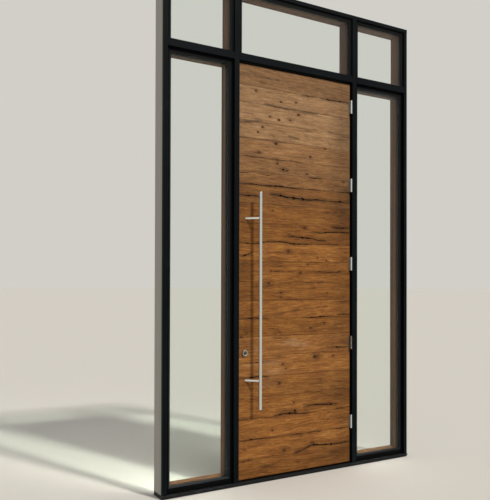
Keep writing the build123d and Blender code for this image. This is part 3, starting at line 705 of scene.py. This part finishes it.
HINGES = [362, 997, 1632, 2267, 2902]
HINGE_HALF = 51
SEAT_DEPTH = 3.3
SEAT_PLAY = 0.3
SEAT_CUT, SEAT_MIDDLE = 80 * MM, 39 * MM
BOARD_GAP = 0.8
ARRIS = 1.0
COLUMNS = 95
ROW_HEIGHT = 8
TOUCHING = 1e-6
NEAR_CRACK, NEAR_LINE, NEAR_KNOT = 40, 30, 90
LEFT_END, LEFT_FADE = -370, 110
RIGHT_END, RIGHT_FADE = 290, 150
FADED = 6
DARK_ROUND_CRACK = 60
JOINT_WEAR = 6
DARKEST = 0.25
CREASE = 35


def lay_board(side, number, low, high, shade, pale, slope, left_dark, right_end_painted_shade):
    """One level board. inward is +1 where the face looks outside, -1 where it looks inside."""
    face, inward, depth = SIDES[side]
    middle = face + inward * depth / 2
    bottom = (low + (BOARD_GAP / 2 if number else 0)) * MM
    top = (high - (BOARD_GAP / 2 if high < BOARD_TOP else 0)) * MM
    cracks = [crack for crack in CRACKS if touches(crack[0], low, high, NEAR_CRACK)]
    lines = [line for line in GRAIN_LINES if touches(line[0], low, high, NEAR_LINE)]
    knots = [k for k in KNOTS if low - NEAR_KNOT < k[1] < high + NEAR_KNOT]
    stains, scuffs = ([m for m in marks if low - 2.5 * m[3] < m[1] < high + 2.5 * m[3]]
                      for marks in (STAINS, SCUFFS))
    bm = bmesh.new()
    add_block(bm, (SLAB_RIGHT - SLAB_LEFT, depth, top - bottom),
              ((SLAB_LEFT + SLAB_RIGHT) / 2, middle, (top + bottom) / 2))
    arrises = [e for e in bm.edges if all((v.co.y - middle) * inward < 0 for v in e.verts)
               and abs(e.verts[0].co.x - e.verts[1].co.x) > 0.1]
    bmesh.ops.bevel(bm, geom=arrises, offset=ARRIS * MM, segments=2, profile=0.5, affect="EDGES",
                    material=-1)
    long_edges = [e for e in bm.edges if abs(e.verts[0].co.x - e.verts[1].co.x) > 0.1]
    bmesh.ops.subdivide_edges(bm, edges=long_edges, cuts=COLUMNS, use_grid_fill=True)
    front_edges = [e for e in bm.edges if all(abs(v.co.y - face) < TOUCHING for v in e.verts)
                   and abs(e.verts[0].co.z - e.verts[1].co.z) > 0.02]
    rows = round((high - low) / ROW_HEIGHT)
    bmesh.ops.subdivide_edges(bm, edges=front_edges, cuts=rows, use_grid_fill=True)
    grain = bm.loops.layers.uv.new("grain")
    tone = bm.loops.layers.uv.new("tone")
    seed = 3.7 * number + (50 if inward < 0 else 0)
    look = {}
    for vert in bm.verts:
        x, z = vert.co.x / MM * inward, vert.co.z / MM
        level = z + slope * x + 5.0 * noise.noise(Vector((x * 0.0016, z * 0.004, seed)))
        # Towards the right end, by the hinges, the wood is made darker as painted shade.
        dark = (1 - left_dark * min(max((LEFT_END - x) / LEFT_FADE, 0), 1)
                - right_end_painted_shade * min(max((x - RIGHT_END) / RIGHT_FADE, 0), 1))
        for kx, kz, size, kind in knots:
            reach = reach_of(x, z, kx, kz, 3.2 * size, 2.0 * size)
            if reach < FADED:
                level -= (z - kz) * 0.85 * math.exp(-reach)
                dark *= 1 - (0.28 if kind == SOUND else 0.40) * math.exp(-reach * 1.8)
        for sx, sz, half_x, half_z, how_dark in stains:
            reach = reach_of(x, z, sx, sz, half_x, half_z)
            if reach < FADED:
                patchy = 1 + 0.9 * noise.noise(Vector((x * 0.012, z * 0.05, sx)))
                dark *= 1 - how_dark * patchy * math.exp(-reach)
        rubbed = pale
        for sx, sz, half_x, half_z, how_pale in scuffs:
            reach = reach_of(x, z, sx, sz, half_x, half_z)
            if reach < FADED:
                patchy = 1 + 1.2 * noise.noise(Vector((x * 0.02, z * 0.06, sz)))
                rubbed += how_pale * max(patchy, 0.0) * math.exp(-reach)
                dark *= 1 + 0.06 * how_pale * math.exp(-reach)
        for points, spread, how_dark in lines:
            away = nearest(x, z, points)
            if away < 3 * spread:
                broken = 1 + 0.8 * noise.noise(Vector((x * 0.02, seed, 9.0)))
                dark *= 1 - how_dark * broken * math.exp(-((away / spread) ** 2))
        for points, width in cracks:
            away = nearest(x, z, points)
            if away < DARK_ROUND_CRACK:
                dark *= 1 - min(0.07 * width, 0.6) * math.exp(-((away / (5 + 1.3 * width)) ** 2))
        to_joint = min(z - low, high - z)
        if to_joint < JOINT_WEAR:
            worn = 0.10 + 0.6 * max(0.0, noise.noise(Vector((x * 0.009, seed, 6.0))))
            dark *= 1 - worn * (1 - to_joint / JOINT_WEAR)
        look[vert] = ((x * MM + seed, level * MM + seed * 0.6),
                      (shade * max(dark, DARKEST), min(rubbed, 1.0)))
        on_face = abs(vert.co.y - face) < TOUCHING
        ridge = 0.35 * noise.noise(Vector((x * 0.004, level * 0.07, seed))) if on_face else 0.0
        swell = 0.5 * noise.noise(Vector((x * 0.002, seed, 1.0)))
        if (vert.co.y - middle) * inward < 0:
            vert.co.y += inward * (0.35 + swell + ridge) * MM
        edge = vert.co.z - (bottom + top) / 2
        if (number or edge > 0) and abs(edge) > (top - bottom) / 2 - 1.5 * MM:
            vert.co.z -= math.copysign(0.5 * MM * abs(noise.noise(Vector((x * 0.02, seed, 2.0)))), edge)
    for part in bm.faces:
        part.smooth = True
        for loop in part.loops:
            loop[grain].uv, loop[tone].uv = look[loop.vert]
    board = piece_from(bm, f"{side}_board_{number + 1:02d}", oak)
    cutters = [crack_cutter([(x * inward, z) for x, z in points], width, face)
               for points, width in cracks if touches(points, low, high, width)]
    cutters += [knot_cutter(x * inward, z, size, face, inward, kind == HOLE)
                for x, z, size, kind in knots if z - size < high and z + size > low]
    for hinge_z in HINGES if side == "outside" else []:
        if hinge_z - HINGE_HALF < high and hinge_z + HINGE_HALF > low:
            seat = bmesh.new()
            add_block(seat, (2 * SEAT_DEPTH * MM, SEAT_CUT, 2 * (HINGE_HALF + SEAT_PLAY) * MM),
                      (SLAB_RIGHT, face + SEAT_MIDDLE, hinge_z * MM))
            cutters.append(mesh_from(seat, "seat"))
    cut_out(board, cutters)
    board.data.set_sharp_from_angle(angle=math.radians(CREASE))
    join_boards(board, side)


BOARD_ENDS = [low for low, *_ in BOARDS[1:]] + [BOARD_TOP]
for number, ((low, *look_of), high) in enumerate(zip(BOARDS, BOARD_ENDS)):
    for side in SIDES:
        lay_board(side, number, low, high, *look_of)


# Knots: plugs of dark branch wood left in the boards where branches grew. They have shrunk
# a little below the face, and a crack has opened round each.
PLUG_DEPTH = 1.4
PLUG_STEPS = ((0.12, 0.0005), (0.35, 0.0002), (0.4, -0.0004))


def stepped_disc(bm, segments, radius, steps):
    """A disc that steps up and down towards its middle. Returns its faces and their corners."""
    before = set(bm.faces)
    bmesh.ops.create_circle(bm, cap_ends=True, segments=segments, radius=radius)
    disc = [f for f in bm.faces if f not in before]
    for thickness, lift in steps:
        bmesh.ops.inset_region(bm, faces=disc, thickness=thickness, depth=lift)
    made = [f for f in bm.faces if f not in before]
    return made, list({v for f in made for v in f.verts})


def knot_plugs(side, kind_name, kind_shown, wood, fit):
    face, inward, _ = SIDES[side]
    bm = bmesh.new()
    rings = bm.loops.layers.uv.new("rings")
    for x, z, size, kind in KNOTS:
        if kind != kind_shown:
            continue
        steps = [(size * MM * share, lift) for share, lift in PLUG_STEPS]
        made, verts = stepped_disc(bm, KNOT_SEGMENTS, size * MM, steps)
        for part in made:
            part.smooth = True
            for loop in part.loops:
                loop[rings].uv = (loop.vert.co.x / MM / size, loop.vert.co.y / MM / size)
        for vert in verts:
            turn = math.atan2(vert.co.y, vert.co.x)
            vert.co.x *= 1.12 * fit * (1 + 0.2 * noise.noise(Vector((turn * 0.8, x, z))))
            vert.co.y *= 0.76 * fit * (1 + 0.2 * noise.noise(Vector((turn * 0.8, z, x))))
        set_in_face(bm, verts, x * inward * MM, face + inward * PLUG_DEPTH * MM, z * MM, inward)
    join_boards(piece_from(bm, f"{side}_{kind_name}_knots", wood), side)


def knot_wood(name, heart, edge):
    made, tree, shader = new_material(name, Roughness=0.8, Specular_IOR_Level=0.2)
    ring_place = add_node(tree, "ShaderNodeUVMap", uv_map="rings").outputs["UV"]
    ring_lines = add_node(tree, "ShaderNodeTexWave", {"Scale": 1.6, "Distortion": 3.0, "Detail": 3.0},
                          {"Vector": ring_place}, wave_type="RINGS", rings_direction="Z")
    from_heart = add_node(tree, "ShaderNodeVectorMath", operation="LENGTH", links={0: ring_place})
    ringed = add_node(tree, "ShaderNodeMath", {1: 0.25}, operation="MULTIPLY_ADD",
                      links={0: ring_lines.outputs["Fac"], 2: from_heart.outputs["Value"]})
    ring_colour = add_node(tree, "ShaderNodeValToRGB", links={"Fac": ringed.outputs[0]},
                           stops=[(0.25, heart), (1.0, edge)])
    feed(tree, shader, {"Base Color": ring_colour.outputs["Color"]})
    return made


black_knot_wood = knot_wood("dark_branch_wood_in_knots", "#1C0F08", "#5E3A1B")
sound_knot_wood = knot_wood("brown_branch_wood_in_knots", "#2C190B", "#6F4520")
for side in SIDES:
    knot_plugs(side, "black", BLACK, black_knot_wood, 1.0)
    knot_plugs(side, "sound", SOUND, sound_knot_wood, 1.08)

# Hinges: five butt hinges in satin stainless steel, each leaf held by four countersunk
# screws that show when the door stands open. The second from the floor is darker, in patches.
def brushed_steel(name, colour, roughness, grain, **settings):
    """Brushing runs along the axis whose grain number is small. Its lines, finer than shows, are
    drawn 1 to 3 mm wide, and draw the shine out softly."""
    made, tree, shader = new_material(name, Base_Color=linear(colour), Metallic=1.0, **settings)
    place = add_node(tree, "ShaderNodeTexCoord").outputs["Object"]
    brushed = add_node(tree, "ShaderNodeMapping", {"Scale": grain}, {"Vector": place})
    lines = add_node(tree, "ShaderNodeTexNoise", {"Scale": 1.0, "Detail": 3.0, "Roughness": 0.7},
                     {"Vector": brushed.outputs[0]}).outputs["Fac"]
    rough = add_node(tree, "ShaderNodeMapRange", {"To Min": roughness - 0.08, "To Max": roughness + 0.12},
                     {"Value": lines})
    bump = add_node(tree, "ShaderNodeBump", {"Strength": 0.06, "Distance": 0.0001}, {"Height": lines})
    feed(tree, shader, {"Roughness": rough.outputs[0], "Normal": bump.outputs["Normal"]})
    return made, tree, shader


SATIN = "#D6DDE1"
DARKER_HINGE_Z = 0.997
hinge_steel, tree, shader = brushed_steel("satin_stainless_hinge", SATIN, 0.34, (900.0, 900.0, 60.0))
place = add_node(tree, "ShaderNodeTexCoord").outputs["Object"]
up = add_node(tree, "ShaderNodeSeparateXYZ", links={0: place})
second_hinge = add_node(tree, "ShaderNodeMath", {1: DARKER_HINGE_Z, 2: 0.060}, {0: up.outputs["Z"]},
                        operation="COMPARE")
spots = add_node(tree, "ShaderNodeTexNoise", {"Scale": 130.0, "Detail": 4.0, "Roughness": 0.7},
                 {"Vector": place})
patchy = add_node(tree, "ShaderNodeMapRange", {"From Min": 0.35, "From Max": 0.5},
                  {"Value": spots.outputs["Fac"]})
darker_patches = add_node(tree, "ShaderNodeMath", links={0: second_hinge.outputs[0], 1: patchy.outputs[0]},
                   operation="MULTIPLY")
patched_colour = add_node(tree, "ShaderNodeMix", {"A": linear(SATIN), "B": linear("#625C50")},
                  {"Factor": darker_patches.outputs[0]}, data_type="RGBA")
feed(tree, shader, {"Base Color": patched_colour.outputs["Result"]})
finish("hinge_frame_leaves", hinge_steel)
finish("hinge_door_leaves", hinge_steel)
screw_steel = brushed_steel("bright_screw_steel", "#C9CAC8", 0.25, (700.0, 700.0, 700.0))[0]
SCREWS = ((-39, 14), (-14, 24), (14, 24), (39, 14))
SCREW_RADIUS = 4.2
HEAD_STEPS = [(0.5 * MM, 0.25 * MM), (1.6 * MM, 0.05 * MM), (0.3 * MM, -0.9 * MM)]
DOOR_LEAF, FRAME_LEAF = 520, 528


def leaf_screws(name, x, facing, body):
    bm = bmesh.new()
    for centre in HINGES:
        for up, depth in SCREWS:
            _, verts = stepped_disc(bm, 16, SCREW_RADIUS * MM, HEAD_STEPS)
            turned = Matrix.Rotation(math.radians(90 * facing), 4, "Y")
            place = Matrix.Translation((x * MM, DOOR_FACE + depth * MM, (centre + up) * MM))
            bmesh.ops.transform(bm, verts=verts, matrix=place @ turned)
    piece = piece_from(bm, name, screw_steel)
    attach(piece, body)


leaf_screws("hinge_screws_in_door", DOOR_LEAF, 1, "door")
leaf_screws("hinge_screws_in_frame", FRAME_LEAF, -1, "frame")

# Hinge shoulders: the strip of each moving leaf that lies in the slab's face beside its
# knuckles. It is the same steel, given a darker colour that is partly painted shade from the knuckles.
SHOULDER_WIDTH = 10 * MM
SHOULDER_PROUD = 0.4 * MM
bm = bmesh.new()
for centre in HINGES:
    add_block(bm, (SHOULDER_WIDTH, 2 * MM, 2 * (HINGE_HALF - 3) * MM),
              (SLAB_RIGHT - SHOULDER_WIDTH / 2, DOOR_FACE - SHOULDER_PROUD + 1 * MM, centre * MM))
bmesh.ops.bevel(bm, geom=bm.edges[:], offset=0.4 * MM, segments=2, profile=0.5, affect="EDGES", material=-1)
shoulder_steel_painted_shade = brushed_steel("hinge_shoulder_steel_painted_shade", "#74766F", 0.45, (900.0, 900.0, 60.0))[0]
shoulders = piece_from(bm, "hinge_shoulders", shoulder_steel_painted_shade)
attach(shoulders, "door")

# Pulls: a long round bar of brushed stainless steel each side of the door, on two slanting
# posts that are screwed to the slab and coped to the bar
pull_steel = brushed_steel("brushed_stainless_pull", "#DDE1DD", 0.12, (1200.0, 1200.0, 25.0),
                           Specular_Tint=linear("#4E5152"))[0]
for side in SIDES:
    finish(side + "_pull_bar", pull_steel)
    # The posts' steel is given a whiter colour than the bar's: painted reflection.
    finish(side + "_pull_posts",
           brushed_steel("turned_stainless_post_" + side, "#F4F5F1", 0.28, (300.0, 300.0, 300.0))[0])

# Lock: a turned collar with the key cylinder set back in it, satin steel, and a thumb turn
# inside. The faceplate in the slab's edge and the strike in the frame are the same steel.
lock_steel = brushed_steel("satin_lock_steel", "#B9BBB8", 0.3, (500.0, 500.0, 500.0))[0]
for part in ("inside_lock", "lock_faceplate", "strike_plate"):
    finish(part, lock_steel)

# Outside lock: the same turned steel, with painted light in rings round its axis: a painted
# highlight on the collar's rim and painted shade in the recess round the key cylinder. The rings
# are shares of this radius.
LOCK_X, LOCK_Z, PLUG_FACE = -0.472, 0.961, -0.0595
RINGS_RADIUS = 0.025
LOCK_RINGS = [(0.0, "#6A665E"), (0.27, "#6A665E"), (0.31, "#413E3A"), (0.50, "#686760"), (0.62, "#A9ABA6"),
              (0.95, "#D2D3CE")]
lock_steel_painted_light, tree, shader = brushed_steel("lock_steel_painted_highlight_and_shade", "#A9AAA5", 0.24, (500.0, 500.0, 500.0))
flat = add_node(tree, "ShaderNodeMapping", {"Location": (-LOCK_X, 0.0, -LOCK_Z), "Scale": (1.0, 0.0, 1.0)},
                {"Vector": add_node(tree, "ShaderNodeTexCoord").outputs["Object"]})
from_axis = add_node(tree, "ShaderNodeVectorMath", operation="LENGTH", links={0: flat.outputs[0]})
ring = add_node(tree, "ShaderNodeMapRange", {"From Max": RINGS_RADIUS},
                {"Value": from_axis.outputs["Value"]})
painted_light_rings = add_node(tree, "ShaderNodeValToRGB", links={"Fac": ring.outputs[0]}, stops=LOCK_RINGS)
feed(tree, shader, {"Base Color": painted_light_rings.outputs["Color"]})
finish("outside_lock", lock_steel_painted_light)

# Keyway: a near-black block in the key cylinder, painted shade for the dark that shows down the
# slot for the key. It stands a little behind the cylinder's face.
SHADE_BLOCK_SIZE = (1.7 * MM, 0.8 * MM, 8.9 * MM)
SHADE_BLOCK_BACK = 1.0 * MM
keyway_painted_shade_finish = new_material("keyway_painted_shade_black", Base_Color=linear("#0A0A0A"), Roughness=0.7)[0]
bm = bmesh.new()
add_block(bm, SHADE_BLOCK_SIZE, (LOCK_X, PLUG_FACE + SHADE_BLOCK_BACK, LOCK_Z))
key_slot = piece_from(bm, "keyway_painted_shade_block", keyway_painted_shade_finish)
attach(key_slot, "door")
